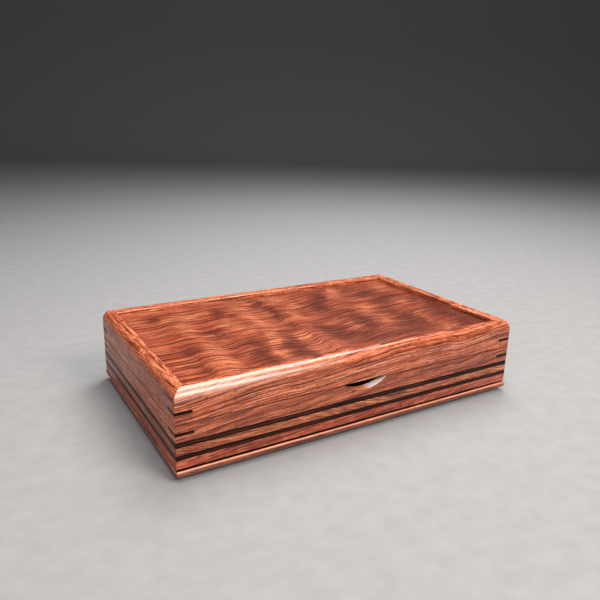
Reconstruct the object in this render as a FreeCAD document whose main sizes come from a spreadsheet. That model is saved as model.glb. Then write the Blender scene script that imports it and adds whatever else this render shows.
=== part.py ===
import FreeCAD, Part

import math
import os
import re

import Sketcher

# Valet box of bubinga with two dark stripes round its walls. The case and the lid are
# mitred at the corners and keyed with dark splines, the lid swings on two brass butt
# hinges at the back, and a tray slides from end to end on two runners inside the case.
# The origin is the middle of the underside. X runs to the right, Y to the back, Z up.

# Driving dimensions in millimetres: name, value and what it measures.
DRIVING = [
    ("box_length", 381.0, "case, outside, left to right"),
    ("box_depth", 232.0, "case, outside, front to back"),
    ("wall_thick", 12.7, "case walls and lid rails"),
    ("corner_ease", 0.5, "flat sanded on each upright corner"),
    ("foot_height", 2.0, "pads under the moulding"),
    ("foot_radius", 7.0, "top of a pad"),
    ("foot_taper", 0.5, "radius that a pad loses towards the floor"),
    ("moulding_height", 8.0, "moulding under the case"),
    ("moulding_width", 24.0, "moulding, outer edge to inner edge"),
    ("moulding_projection", 2.0, "moulding proud of the front and back walls"),
    ("moulding_end_projection", 0.2, "moulding proud of the end walls"),
    ("moulding_ease", 0.9, "radius of the moulding's upper outer edge"),
    ("moulding_round", 6.7, "radius of the moulding's lower outer edge"),
    ("shadow_gap", 1.4, "dark line between moulding and walls"),
    ("bottom_thick", 6.0, "bottom panel"),
    ("bottom_rebate", 8.0, "width of the rebate that holds the bottom panel"),
    ("bottom_play", 0.2, "edge of the bottom panel to its rebate"),
    ("lower_wall_height", 8.3, "plain wood under the lower stripe"),
    ("lower_stripe_height", 4.5, "lower dark stripe"),
    ("middle_band_height", 6.9, "lighter band between the stripes"),
    ("upper_stripe_height", 4.7, "upper dark stripe"),
    ("upper_wall_height", 15.8, "plain wood from the upper stripe to the seam"),
    ("seam_gap", 0.2, "hairline between case and lid"),
    ("seam_ease", 0.3, "edges sanded along the seam"),
    ("lid_height", 28.6, "lid rails, seam to top"),
    ("lid_round", 10.0, "roundover on the lid's front and left outer top edges"),
    ("far_round", 2.0, "roundover on the lid's right and back outer top edges"),
    ("lid_inner_round", 0.8, "roundover on the lid's inner top edge"),
    ("panel_drop", 4.5, "figured panel below the top of the rails"),
    ("panel_thick", 6.4, "figured panel"),
    ("panel_groove", 5.0, "depth of the groove that holds the panel"),
    ("panel_gap", 1.0, "room for the panel to swell in its groove"),
    ("panel_play", 0.1, "groove over the panel's thickness"),
    ("key_thick", 2.9, "dark keys across the corners"),
    ("lid_key_leg", 15.5, "length of a lid key along each face"),
    ("lid_key_rise", 9.5, "middle of a lid key above the lid's lower edge"),
    ("case_key_leg", 16.5, "length of a case key along each face"),
    ("case_key_drop", 8.7, "middle of a case key below the seam"),
    ("notch_width", 50.8, "thumb notch, across at the seam"),
    ("notch_depth", 9.2, "thumb notch, seam to its lowest point"),
    ("notch_offset", 3.0, "middle of the thumb notch left of the case's middle"),
    ("lining_thick", 1.5, "suede on card, on walls, floor and lid"),
    ("lining_drop", 1.0, "top of the wall linings below the seam"),
    ("lining_play", 0.1, "linings and inside fittings to what they stand between"),
    ("runner_width", 8.0, "ledge under the tray's front or back edge"),
    ("runner_height", 16.5, "ledge above the bottom panel"),
    ("divider_thick", 5.0, "dividers on the floor of the case"),
    ("divider_drop", 1.7, "case dividers below the tray"),
    ("slide_gap", 0.2, "tray above its runners"),
    ("tray_play", 0.5, "tray to the linings round it"),
    ("tray_length", 160.0, "tray, left to right"),
    ("tray_drop", 1.9, "top of the tray below the seam"),
    ("tray_wall", 5.0, "walls of the tray"),
    ("tray_bottom_thick", 3.0, "tray bottom"),
    ("tray_rebate", 2.5, "width of the rebate that holds the tray bottom"),
    ("tray_lining_thick", 1.0, "suede on the tray bottom"),
    ("tray_divider_thick", 4.0, "dividers in the tray"),
    ("tray_divider_drop", 2.0, "dividers below the top of the tray"),
    ("hinge_inset", 62.0, "middle of a hinge in from the end of the case"),
    ("leaf_length", 38.0, "hinge leaf along the back"),
    ("leaf_cover", 2.7, "wood left in front of a hinge leaf"),
    ("leaf_thick", 1.6, "hinge leaf"),
    ("leaf_play", 0.1, "hinge leaf to the sides of its mortise"),
    ("knuckle_radius", 2.0, "outside of a knuckle"),
    ("knuckle_room", 0.4, "space round a knuckle"),
    ("knuckle_length", 13.6, "single knuckle of the lid leaf"),
    ("knuckle_gap", 0.2, "space between knuckles along the pin"),
    ("pin_radius", 0.8, "hinge pin"),
    ("pin_play", 0.05, "pin in its knuckles, on the radius"),
    ("screw_spacing", 13.0, "screws of a leaf, centre to centre"),
    ("screw_head_radius", 2.2, "countersunk head"),
    ("screw_head_height", 1.2, "countersunk head"),
    ("screw_shank_radius", 1.1, "shank"),
    ("screw_length", 9.0, "face of the head to the tip"),
    ("screw_tip_length", 2.0, "pointed end"),
    ("screw_tip_radius", 0.2, "end of the point"),
    ("screw_slot", 0.6, "width and depth of the driver's slot"),
    ("screw_play", 0.05, "screw in its hole, on the radius"),
    ("cut_margin", 2.0, "how far a cut runs past the faces that it opens"),
]

# Levels, spans and places that follow from the driving dimensions.
DERIVED = [
    ("bottom_level", "foot_height + moulding_height"),
    ("wall_level", "bottom_level + shadow_gap"),
    ("lower_stripe_level", "wall_level + lower_wall_height"),
    ("middle_band_level", "lower_stripe_level + lower_stripe_height"),
    ("upper_stripe_level", "middle_band_level + middle_band_height"),
    ("upper_wall_level", "upper_stripe_level + upper_stripe_height"),
    ("seam_level", "upper_wall_level + upper_wall_height"),
    ("lid_level", "seam_level + seam_gap"),
    ("lid_top", "lid_level + lid_height"),
    ("panel_face", "lid_top - panel_drop"),
    ("panel_under", "panel_face - panel_thick"),
    ("floor_level", "bottom_level + bottom_thick"),
    ("floor_face", "floor_level + lining_thick"),
    ("runner_level", "floor_level + runner_height"),
    ("lining_level", "seam_level - lining_drop"),
    ("inner_length", "box_length - 2 * wall_thick"),
    ("inner_depth", "box_depth - 2 * wall_thick"),
    ("lined_length", "inner_length - 2 * lining_thick"),
    ("lined_depth", "inner_depth - 2 * lining_thick"),
    ("fitted_length", "lined_length - 2 * lining_play"),
    ("fitted_depth", "inner_depth - 2 * runner_width - 2 * lining_play"),
    ("moulding_length", "box_length + 2 * moulding_end_projection"),
    ("moulding_depth", "box_depth + 2 * moulding_projection"),
    ("moulding_edge", "min(moulding_round; moulding_height - moulding_ease - corner_ease)"),
    ("lid_edge", "min(lid_round; wall_thick - lid_inner_round - corner_ease)"),
    ("far_edge", "min(far_round; lid_edge)"),
    ("foot_inset", "(moulding_edge + moulding_width) / 2"),
    ("foot_x", "moulding_length / 2 - foot_inset"),
    ("foot_y", "moulding_depth / 2 - foot_inset"),
    ("notch_radius", "(notch_width ^ 2 / 4 + notch_depth ^ 2) / (2 * notch_depth)"),
    ("divider_x", "lined_length / 3 / 2"),
    ("tray_level", "runner_level + slide_gap"),
    ("tray_top", "seam_level - tray_drop"),
    ("tray_floor", "tray_level + tray_bottom_thick"),
    ("tray_face", "tray_floor + tray_lining_thick"),
    ("tray_depth", "lined_depth - 2 * tray_play"),
    ("tray_x", "(tray_length - lined_length) / 2 + tray_play"),
    ("tray_inner_length", "tray_length - 2 * tray_wall"),
    ("tray_inner_depth", "tray_depth - 2 * tray_wall"),
    ("tray_rebated", "tray_wall - tray_rebate + lining_play"),
    ("cell_length", "(tray_inner_length - tray_divider_thick) / 2 - lining_play"),
    ("cell_x", "tray_x + (cell_length + tray_divider_thick) / 2"),
    ("cell_y", "tray_inner_depth / 3 / 2"),
    ("hinge_x", "box_length / 2 - hinge_inset"),
    ("hinge_y", "box_depth / 2"),
    ("hinge_level", "seam_level + seam_gap / 2"),
    ("leaf_width", "wall_thick - leaf_cover"),
    ("knuckle_clear", "knuckle_radius + knuckle_room"),
    ("end_knuckle_length", "(leaf_length - knuckle_length) / 2 - knuckle_gap"),
    ("screw_setback", "(leaf_width + knuckle_clear) / 2"),
]

SHEET = "Size"
RIGHT = FreeCAD.Vector(1, 0, 0)
BACK = FreeCAD.Vector(0, 1, 0)
UP = FreeCAD.Vector(0, 0, 1)

# How a round bar is turned so that it runs along an axis.
ALONG_X = FreeCAD.Rotation(BACK, 90)
ALONG_Y = FreeCAD.Rotation(RIGHT, -90)
ALONG_Z = FreeCAD.Rotation()

# Each side is drawn as a front board and turned about the upright axis.
SIDES = {"front": 0, "right": 90, "back": 180, "left": 270}

document = FreeCAD.newDocument("valet_box")
sheet = document.addObject("Spreadsheet::Sheet", SHEET)
nodes = {}
cuts = []


def fill_sheet():
    """Write the driving values as plain numbers and the rest as formulas of them."""
    rows = [(name, str(value), note) for name, value, note in DRIVING]
    rows += [(name, "=" + text, "follows from the sizes above") for name, text in DERIVED]
    for row, (name, content, note) in enumerate(rows, start=1):
        sheet.set(f"A{row}", name)
        sheet.set(f"B{row}", content)
        sheet.set(f"C{row}", note)
        sheet.setAlias(f"B{row}", name)
    document.recompute()


def formula(text):
    """Point every name in a plain formula at its cell in the sheet."""
    return re.sub(r"\b[a-z_]+\b(?!\()", lambda name: f"{SHEET}.{name.group()}", text)


def number(text):
    """Value of a plain formula, for drawing a sketch near its final place."""
    return float(sheet.evalExpression(formula(text)))


def bind(thing, **settings):
    """Tie properties of an object to the sheet. x, y and z stand for its place."""
    places = {axis: f"Placement.Base.{axis}" for axis in "xyz"}
    for name, text in settings.items():
        thing.setExpression(places.get(name, name), formula(text))
    return thing


def node(label, thing):
    """Give a finished piece the name that its file has."""
    thing.Label = label
    nodes[label] = thing
    return thing


def block(label, length, width, height, z, x="0", y="0"):
    """A rectangular piece, placed by the middle of its underside."""
    piece = document.addObject("Part::Box", label)
    bind(piece, Length=length, Width=width, Height=height)
    return bind(piece, x=f"{x} - ({length}) / 2", y=f"{y} - ({width}) / 2", z=z)


def upright(label, lower_radius, upper_radius, height, x, y, z):
    """A round tapered piece that stands on its lower end."""
    piece = document.addObject("Part::Cone", label)
    bind(piece, Radius1=lower_radius, Radius2=upper_radius, Height=height)
    return bind(piece, x=x, y=y, z=z)


def rod(label, radius, length, turned, x, y, z):
    """A round bar along an axis, placed by the middle of its first end."""
    piece = document.addObject("Part::Cylinder", label)
    piece.Placement.Rotation = turned
    return bind(piece, Radius=radius, Height=length, x=x, y=y, z=z)


def group(label, pieces):
    """Several separate solids in one piece."""
    piece = document.addObject("Part::Compound", label)
    piece.Links = pieces
    return piece


def joined(label, pieces):
    """Solids that overlap, made into one."""
    piece = document.addObject("Part::MultiFuse", label)
    piece.Shapes = pieces
    return piece


def cut(label, base, tool):
    """A piece with another one's shape taken out of it."""
    piece = document.addObject("Part::Cut", label)
    piece.Base = base
    piece.Tool = tool
    cuts.append((base, piece))
    return piece


def mirrored(label, source, normal, level="0"):
    """Copy of a piece across an upright plane through the middle, or across a level."""
    piece = document.addObject("Part::Mirroring", label)
    piece.Source = source
    piece.Normal = normal
    piece.setExpression("Base.z", formula(level))
    return piece


def edge_to(start, end, corner):
    """The straight edge, or the quarter arc if the corner has a radius."""
    if len(corner) < 3:
        return Part.LineSegment(start, end)
    outward = FreeCAD.Vector(end.y - start.y, start.x - end.x, 0).normalize()
    sagitta = number(corner[2]) * (1 - math.cos(math.pi / 4))
    return Part.ArcOfCircle(start, (start + end) / 2 + outward * sagitta, end)


def outline(sketch, corners):
    """Draw a closed outline with every corner tied to the sheet.

    A corner is its two distances from the sketch's origin, and a radius where an arc
    leads on from it. Round an outline with arcs the corners run anticlockwise.
    """
    first = sketch.GeometryCount
    places = [FreeCAD.Vector(number(across), number(up), 0) for across, up, *_ in corners]
    constraints = []
    formulas = {}
    for index, corner in enumerate(corners):
        start = places[index]
        end = places[(index + 1) % len(corners)]
        edge = sketch.addGeometry(edge_to(start, end, corner))
        following = first + (index + 1) % len(corners)
        constraints.append(Sketcher.Constraint("Coincident", edge, 2, following, 1))
        sizes = [
            Sketcher.Constraint("DistanceX", -1, 1, edge, 1, start.x),
            Sketcher.Constraint("DistanceY", -1, 1, edge, 1, start.y),
        ]
        if len(corner) > 2:
            sizes.append(Sketcher.Constraint("Radius", edge, number(corner[2])))
        for size, kind, text in zip(sizes, ("across", "up", "radius"), corner):
            size.Name = f"{kind}_{edge}"
            formulas[size.Name] = text
        constraints += sizes
    sketch.addConstraint(constraints)
    for name, text in formulas.items():
        sketch.setExpression(f"Constraints.{name}", formula(text))


def sketch_on(body, role, name, outlines):
    """A sketch on one of a body's own origin planes."""
    sketch = body.newObject("Sketcher::SketchObject", name)
    plane = next(part for part in body.Origin.OriginFeatures if part.Role == role)
    sketch.AttachmentSupport = (plane, "")
    sketch.MapMode = "FlatFace"
    for corners in outlines:
        outline(sketch, corners)
    return sketch


def board(label, side, run, span, width, section, x="0"):
    """A board of constant section with a mitre at each end.

    run is its outer length, and span the distance from its outer face to that of the
    board opposite. A corner of the section is its distance in from the outer face, its
    level and, before an arc, the arc's radius.
    """
    body = document.addObject("PartDesign::Body", f"{label}_board")
    placed = [(f"{corner[0]} - ({span}) / 2", *corner[1:]) for corner in section]
    bar = body.newObject("PartDesign::Pad", f"{label}_bar")
    bar.Profile = sketch_on(body, "YZ_Plane", f"{label}_section", [placed])
    bar.SideType = "Symmetric"
    bind(bar, Length=run)
    mitres = body.newObject("PartDesign::Pocket", f"{label}_mitres")
    ends = [mitre(run, span, width, hand) for hand in ("1", "-1")]
    mitres.Profile = sketch_on(body, "XY_Plane", f"{label}_ends", ends)
    mitres.Reversed = True
    bind(mitres, Length="lid_top + cut_margin")
    cuts.append((bar, mitres))
    body.Placement.Rotation = FreeCAD.Rotation(UP, SIDES[side])
    return bind(body, x=x)


def mitre(run, span, width, hand):
    """Outline of what is sawn off one end, with the sharp outer corner sanded flat."""
    corners = [
        ("corner_ease + cut_margin", "0 - cut_margin"),
        ("corner_ease / 2", "corner_ease / 2"),
        (f"{width} + cut_margin", f"{width} + cut_margin"),
        ("0 - cut_margin", f"{width} + cut_margin"),
        ("0 - cut_margin", "0 - cut_margin"),
    ]
    return [
        (f"{hand} * (({run}) / 2 - ({along}))", f"{inward} - ({span}) / 2")
        for along, inward in corners
    ]


def around(length, depth):
    """Each side's name with its board's outer length and the span to the opposite one."""
    for side in SIDES:
        if side in ("front", "back"):
            yield side, length, depth
        else:
            yield side, depth, length


def plain_section(width, lower, upper):
    return [("0", lower), (width, lower), (width, upper), ("0", upper)]


def rebated_section(width, rebate, lower, shoulder, upper):
    """A wall whose inner lower edge is cut back to hold a bottom."""
    lip = f"{width} - {rebate}"
    return [("0", lower), (lip, lower), (lip, shoulder), (width, shoulder), (width, upper), ("0", upper)]


def upper_wall_section():
    """The top layer of a case wall, its outer edge eased along the seam."""
    return [
        ("0", "upper_wall_level"),
        ("wall_thick", "upper_wall_level"),
        ("wall_thick", "seam_level"),
        ("seam_ease", "seam_level"),
        ("0", "seam_level - seam_ease"),
    ]


def lid_rail_section(edge):
    """A lid rail: eased seam edge, panel groove, and both top edges rounded over."""
    return [
        ("seam_ease", "lid_level"),
        ("wall_thick", "lid_level"),
        ("wall_thick", "panel_under"),
        ("wall_thick - panel_groove", "panel_under"),
        ("wall_thick - panel_groove", "panel_face + panel_play"),
        ("wall_thick", "panel_face + panel_play"),
        ("wall_thick", "lid_top - lid_inner_round", "lid_inner_round"),
        ("wall_thick - lid_inner_round", "lid_top"),
        (edge, "lid_top", edge),
        ("0", f"lid_top - {edge}"),
        ("0", "lid_level + seam_ease"),
    ]


def moulding_section():
    """A flat strip with a quarter round below, and its upper outer edge eased."""
    return [
        ("moulding_edge", "foot_height"),
        ("moulding_width", "foot_height"),
        ("moulding_width", "bottom_level"),
        ("moulding_ease", "bottom_level", "moulding_ease"),
        ("0", "bottom_level - moulding_ease"),
        ("0", "foot_height + moulding_edge", "moulding_edge"),
    ]


def corner_keys(label, leg, middle):
    """Four flat triangular keys, each let in across a corner."""
    body = document.addObject("PartDesign::Body", f"{label}_front_left")
    triangle = [
        ("corner_ease - box_length / 2", "0 - box_depth / 2"),
        (f"{leg} - box_length / 2", "0 - box_depth / 2"),
        ("0 - box_length / 2", f"{leg} - box_depth / 2"),
        ("0 - box_length / 2", "corner_ease - box_depth / 2"),
    ]
    pad = body.newObject("PartDesign::Pad", f"{label}_pad")
    pad.Profile = sketch_on(body, "XY_Plane", f"{label}_triangle", [triangle])
    pad.SideType = "Symmetric"
    bind(pad, Length="key_thick")
    bind(body, z=middle)
    front_right = mirrored(f"{label}_front_right", body, RIGHT)
    back_left = mirrored(f"{label}_back_left", body, BACK)
    back_right = mirrored(f"{label}_back_right", front_right, BACK)
    return group(label, [body, front_right, back_left, back_right])


def roundovers():
    """What the front and left roundovers take off the rails that they run out through.

    Each is a block over the end of the rail, less the round bar that stays.
    """
    level = "lid_top - lid_edge"
    width = "lid_edge + cut_margin"
    inset = "(lid_edge - cut_margin) / 2"
    length = "wall_thick + 2 * cut_margin"
    front = cut(
        "front_roundover",
        block("front_waste", length, width, width, level, "(box_length - wall_thick) / 2", f"{inset} - box_depth / 2"),
        rod(
            "front_round",
            "lid_edge",
            length,
            ALONG_X,
            x="box_length / 2 - wall_thick - cut_margin",
            y="lid_edge - box_depth / 2",
            z=level,
        ),
    )
    left = cut(
        "left_roundover",
        block("left_waste", width, length, width, level, f"{inset} - box_length / 2", "(box_depth - wall_thick) / 2"),
        rod(
            "left_round",
            "lid_edge",
            length,
            ALONG_Y,
            x="lid_edge - box_length / 2",
            y="box_depth / 2 - wall_thick - cut_margin",
            z=level,
        ),
    )
    return {"right": front, "back": left}


def thumb_notch():
    """Round bar whose shape is taken out of the front wall and its lining."""
    return rod(
        "thumb_notch",
        "notch_radius",
        "wall_thick + lining_thick + 2 * cut_margin",
        ALONG_Y,
        x="0 - notch_offset",
        y="0 - box_depth / 2 - cut_margin",
        z="seam_level - notch_depth + notch_radius",
    )


def screw(label, x, play="0"):
    """A countersunk wood screw that points down, or with some play its hole."""
    y = "hinge_y - screw_setback"
    shank = f"screw_shank_radius + {play}"
    head = f"screw_head_radius + {play}"
    head_level = "seam_level - screw_head_height"
    tip_level = "seam_level - screw_length"
    shank_level = f"{tip_level} + screw_tip_length"
    shank_length = "screw_length - screw_tip_length - screw_head_height"
    return joined(label, [
        upright(f"{label}_tip", f"screw_tip_radius + {play}", shank, "screw_tip_length", x, y, tip_level),
        rod(f"{label}_shank", shank, shank_length, ALONG_Z, x, y, shank_level),
        upright(f"{label}_head", shank, head, "screw_head_height", x, y, head_level),
    ])


def leaf_screws():
    """The three screws of the right-hand case leaf, and the holes that they fill."""
    screws = []
    holes = []
    for name, step in (("outer", "1"), ("middle", "0"), ("inner", "-1")):
        x = f"hinge_x + {step} * screw_spacing"
        blank = screw(f"screw_{name}_blank", x)
        slot = block(
            f"screw_{name}_slot",
            "screw_slot",
            "2 * (screw_head_radius + cut_margin)",
            "screw_slot + cut_margin",
            z="seam_level - screw_slot",
            x=x,
            y="hinge_y - screw_setback",
        )
        screws.append(cut(f"screw_{name}", blank, slot))
        holes.append(screw(f"screw_{name}_hole", x, "screw_play"))
    return screws, holes


def knuckle(label, length, x):
    """One knuckle of the right-hand hinge, from x towards the right."""
    return rod(label, "knuckle_radius", length, ALONG_X, x, "hinge_y", "hinge_level")


def knuckle_space(label, length, x):
    """What a knuckle needs clear round it, open to the back."""
    return block(
        label,
        length,
        "knuckle_clear + cut_margin",
        "2 * knuckle_clear",
        z="hinge_level - knuckle_clear",
        x=x,
        y="hinge_y + (cut_margin - knuckle_clear) / 2",
    )


def leaf(label, level, knuckles, spaces, holes):
    """A hinge leaf: its plate and knuckles, clear of the knuckles of the other leaf."""
    plate = block(
        f"{label}_plate",
        "leaf_length",
        "leaf_width",
        "leaf_thick",
        z=level,
        x="hinge_x",
        y="hinge_y - leaf_width / 2",
    )
    relieved = cut(f"{label}_relieved", plate, group(f"{label}_spaces", spaces))
    solid = joined(f"{label}_solid", [relieved, *knuckles])
    return cut(label, solid, group(f"{label}_holes", holes))


def mortise(holes):
    """What the right-hand case leaf takes out of the back wall."""
    length = "leaf_length + 2 * leaf_play"
    plate = block(
        "mortise_plate",
        length,
        "leaf_width + leaf_play + cut_margin",
        "leaf_thick + cut_margin",
        z="seam_level - leaf_thick",
        x="hinge_x",
        y="hinge_y + (cut_margin - leaf_width - leaf_play) / 2",
    )
    knuckles = knuckle_space("mortise_knuckles", length, "hinge_x")
    return joined("mortise_right", [plate, knuckles, *holes])


def hinges():
    """Both hinges, as nodes, and the mortises for the case and for the lid.

    The pin lies on the line where the back face meets the seam, so the lid can turn
    through more than a right angle with nothing to strike.
    """
    screws, holes = leaf_screws()
    first = "hinge_x - leaf_length / 2"
    bore = rod(
        "pin_bore",
        "pin_radius + pin_play",
        "leaf_length + 2 * cut_margin",
        ALONG_X,
        x=f"{first} - cut_margin",
        y="hinge_y",
        z="hinge_level",
    )
    ends = "end_knuckle_length + knuckle_gap + cut_margin"
    reach = "(leaf_length - end_knuckle_length - knuckle_gap + cut_margin) / 2"
    case_leaf = leaf(
        "hinge_case_leaf_right",
        "seam_level - leaf_thick",
        [
            knuckle("case_knuckle_inner", "end_knuckle_length", first),
            knuckle(
                "case_knuckle_outer",
                "end_knuckle_length",
                "hinge_x + leaf_length / 2 - end_knuckle_length",
            ),
        ],
        [knuckle_space("lid_knuckle_space", "knuckle_length + 2 * knuckle_gap", "hinge_x")],
        [bore, *holes],
    )
    lid_holes = [mirrored(f"{hole.Label}_lid", hole, UP, "hinge_level") for hole in holes]
    lid_leaf = leaf(
        "hinge_lid_leaf_right",
        "lid_level",
        [knuckle("lid_knuckle", "knuckle_length", "hinge_x - knuckle_length / 2")],
        [
            knuckle_space("case_knuckle_space_inner", ends, f"hinge_x - {reach}"),
            knuckle_space("case_knuckle_space_outer", ends, f"hinge_x + {reach}"),
        ],
        [bore, *lid_holes],
    )
    for label, piece in (("hinge_case_leaf", case_leaf), ("hinge_lid_leaf", lid_leaf)):
        node(f"{label}_right", piece)
        node(f"{label}_left", mirrored(f"{label}_left", piece, RIGHT))
    pin = rod("pin_right", "pin_radius", "leaf_length", ALONG_X, first, "hinge_y", "hinge_level")
    node("hinge_pins", group("hinge_pins", [pin, mirrored("pin_left", pin, RIGHT)]))
    case_screws = screws + [mirrored(f"{piece.Label}_left", piece, RIGHT) for piece in screws]
    lid_screws = [mirrored(f"{piece.Label}_lid", piece, UP, "hinge_level") for piece in case_screws]
    node("hinge_case_screws", group("hinge_case_screws", case_screws))
    node("hinge_lid_screws", group("hinge_lid_screws", lid_screws))
    right = mortise(holes)
    case_mortises = group("case_mortises", [right, mirrored("mortise_left", right, RIGHT)])
    return case_mortises, mirrored("lid_mortises", case_mortises, UP, "hinge_level")


def underside():
    """Bottom panel, the moulding frame glued under it, and four pads."""
    node("bottom_panel", block(
        "bottom_panel",
        "inner_length + 2 * (bottom_rebate - bottom_play)",
        "inner_depth + 2 * (bottom_rebate - bottom_play)",
        "bottom_thick",
        z="bottom_level",
    ))
    for side, run, span in around("moulding_length", "moulding_depth"):
        strip = board(f"moulding_{side}", side, run, span, "moulding_width", moulding_section())
        node(f"moulding_{side}", strip)
    pads = [
        upright(
            f"pad_{index}",
            "foot_radius - foot_taper",
            "foot_radius",
            "foot_height",
            x=f"{x} * foot_x",
            y=f"{y} * foot_y",
            z="0",
        )
        for index, (x, y) in enumerate(((-1, -1), (1, -1), (1, 1), (-1, 1)))
    ]
    node("feet", group("feet", pads))


def case_walls(keys, notch, mortises):
    """Four mitred sides, each glued up from five layers."""
    lower = rebated_section("wall_thick", "bottom_rebate", "wall_level", "floor_level", "lower_stripe_level")
    layers = {
        "lower_wall": lower,
        "lower_stripe": plain_section("wall_thick", "lower_stripe_level", "middle_band_level"),
        "middle_band": plain_section("wall_thick", "middle_band_level", "upper_stripe_level"),
        "upper_stripe": plain_section("wall_thick", "upper_stripe_level", "upper_wall_level"),
        "upper_wall": upper_wall_section(),
    }
    openings = {"front": notch, "back": mortises}
    for layer, section in layers.items():
        for side, run, span in around("box_length", "box_depth"):
            label = f"{layer}_{side}"
            piece = board(label, side, run, span, "wall_thick", section)
            if layer == "upper_wall":
                piece = cut(f"{label}_keyed", piece, keys)
                if side in openings:
                    piece = cut(f"{label}_opened", piece, openings[side])
            node(label, piece)


def lid(keys, mortises):
    """Four mitred rails round a figured panel that floats in their grooves."""
    taken = roundovers()
    for side, run, span in around("box_length", "box_depth"):
        label = f"lid_rail_{side}"
        edge = "far_edge" if side in taken else "lid_edge"
        rail = board(label, side, run, span, "wall_thick", lid_rail_section(edge))
        rail = cut(f"{label}_keyed", rail, keys)
        if side in taken:
            rail = cut(f"{label}_rounded", rail, taken[side])
        if side == "back":
            rail = cut(f"{label}_hinged", rail, mortises)
        node(label, rail)
    node("lid_panel", block(
        "lid_panel",
        "inner_length + 2 * (panel_groove - panel_gap)",
        "inner_depth + 2 * (panel_groove - panel_gap)",
        "panel_thick",
        z="panel_under",
    ))
    node("lid_lining", block(
        "lid_lining",
        "inner_length - 2 * lining_play",
        "inner_depth - 2 * lining_play",
        "lining_thick",
        z="panel_under - lining_thick",
    ))


def case_fittings(notch):
    """Linings, the runners that carry the tray, and the dividers below it."""
    node("floor_lining", block(
        "floor_lining", "fitted_length", "fitted_depth", "lining_thick", z="floor_level",
    ))
    for side, hand in (("left", "-1"), ("right", "1")):
        node(f"lining_{side}", block(
            f"lining_{side}",
            "lining_thick",
            "inner_depth - 2 * lining_play",
            "lining_level - floor_level",
            z="floor_level",
            x=f"{hand} * (inner_length - lining_thick) / 2",
        ))
        node(f"case_divider_{side}", block(
            f"case_divider_{side}",
            "divider_thick",
            "fitted_depth",
            "tray_level - divider_drop - floor_face",
            z="floor_face",
            x=f"{hand} * divider_x",
        ))
    for side, hand in (("front", "-1"), ("back", "1")):
        node(f"runner_{side}", block(
            f"runner_{side}",
            "fitted_length",
            "runner_width",
            "runner_height",
            z="floor_level",
            y=f"{hand} * (inner_depth - runner_width) / 2",
        ))
        lining = block(
            f"lining_{side}_board",
            "fitted_length",
            "lining_thick",
            "lining_level - runner_level",
            z="runner_level",
            y=f"{hand} * (inner_depth - lining_thick) / 2",
        )
        if side == "front":
            lining = cut("lining_front_notched", lining, notch)
        node(f"lining_{side}", lining)


def tray():
    """A tray as deep as the case and half as long, with three cells and a long one."""
    section = rebated_section("tray_wall", "tray_rebate", "tray_level", "tray_floor", "tray_top")
    for side, run, span in around("tray_length", "tray_depth"):
        wall = board(f"tray_wall_{side}", side, run, span, "tray_wall", section, x="tray_x")
        node(f"tray_wall_{side}", wall)
    node("tray_bottom", block(
        "tray_bottom",
        "tray_length - 2 * tray_rebated",
        "tray_depth - 2 * tray_rebated",
        "tray_bottom_thick",
        z="tray_level",
        x="tray_x",
    ))
    node("tray_lining", block(
        "tray_lining",
        "tray_inner_length - 2 * lining_play",
        "tray_inner_depth - 2 * lining_play",
        "tray_lining_thick",
        z="tray_floor",
        x="tray_x",
    ))
    height = "tray_top - tray_divider_drop - tray_face"
    node("tray_long_divider", block(
        "tray_long_divider",
        "tray_divider_thick",
        "tray_inner_depth - 2 * lining_play",
        height,
        z="tray_face",
        x="tray_x",
    ))
    cross = [
        block(
            f"tray_cross_divider_{side}",
            "cell_length",
            "tray_divider_thick",
            height,
            z="tray_face",
            x="cell_x",
            y=f"{hand} * cell_y",
        )
        for side, hand in (("front", "-1"), ("back", "1"))
    ]
    node("tray_cross_dividers", group("tray_cross_dividers", cross))


def check():
    """Stop if anything failed to build, or if a cut took nothing away."""
    for thing in document.Objects:
        if "Invalid" in thing.State or "Error" in thing.State:
            raise ValueError(f"{thing.Label} did not build: {thing.State}")
    for before, after in cuts:
        if after.Shape.Volume >= before.Shape.Volume:
            raise ValueError(f"{after.Label} takes nothing away")
    for label, thing in nodes.items():
        if thing.Shape.isNull() or not thing.Shape.isValid() or not thing.Shape.Solids:
            raise ValueError(f"{label} is not a valid solid")


def write():
    os.makedirs("parts", exist_ok=True)
    for label, thing in nodes.items():
        thing.Shape.exportStep(f"parts/{label}.step")
        print(f"{label}: {len(thing.Shape.Solids)} solids, {thing.Shape.Volume:.1f} cubic mm")
    print(len(nodes), "nodes")


fill_sheet()
case_keys = corner_keys("case_keys", "case_key_leg", "seam_level - case_key_drop")
lid_keys = corner_keys("lid_keys", "lid_key_leg", "lid_level + lid_key_rise")
node("case_keys", case_keys)
node("lid_keys", lid_keys)
notch = thumb_notch()
case_mortises, lid_mortises = hinges()
underside()
case_walls(case_keys, notch, case_mortises)
case_fittings(notch)
lid(lid_keys, lid_mortises)
tray()
document.recompute()
check()
write()
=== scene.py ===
# %% [markdown]
# # A valet box in bubinga
# The box is packed as a CAD model of 58 pieces: mitred walls in five layers, a lid with
# a figured panel, a sliding tray, linings, hinges and pads. This lesson dresses those
# pieces: the shapes stay as the CAD made them, and Blender adds wood, suede, brass and
# light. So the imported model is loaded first, and its box is measured.

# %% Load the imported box
import math

import bmesh
import bpy
from mathutils import Matrix, Vector
from mathutils.noise import noise as noise_3d


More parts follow.
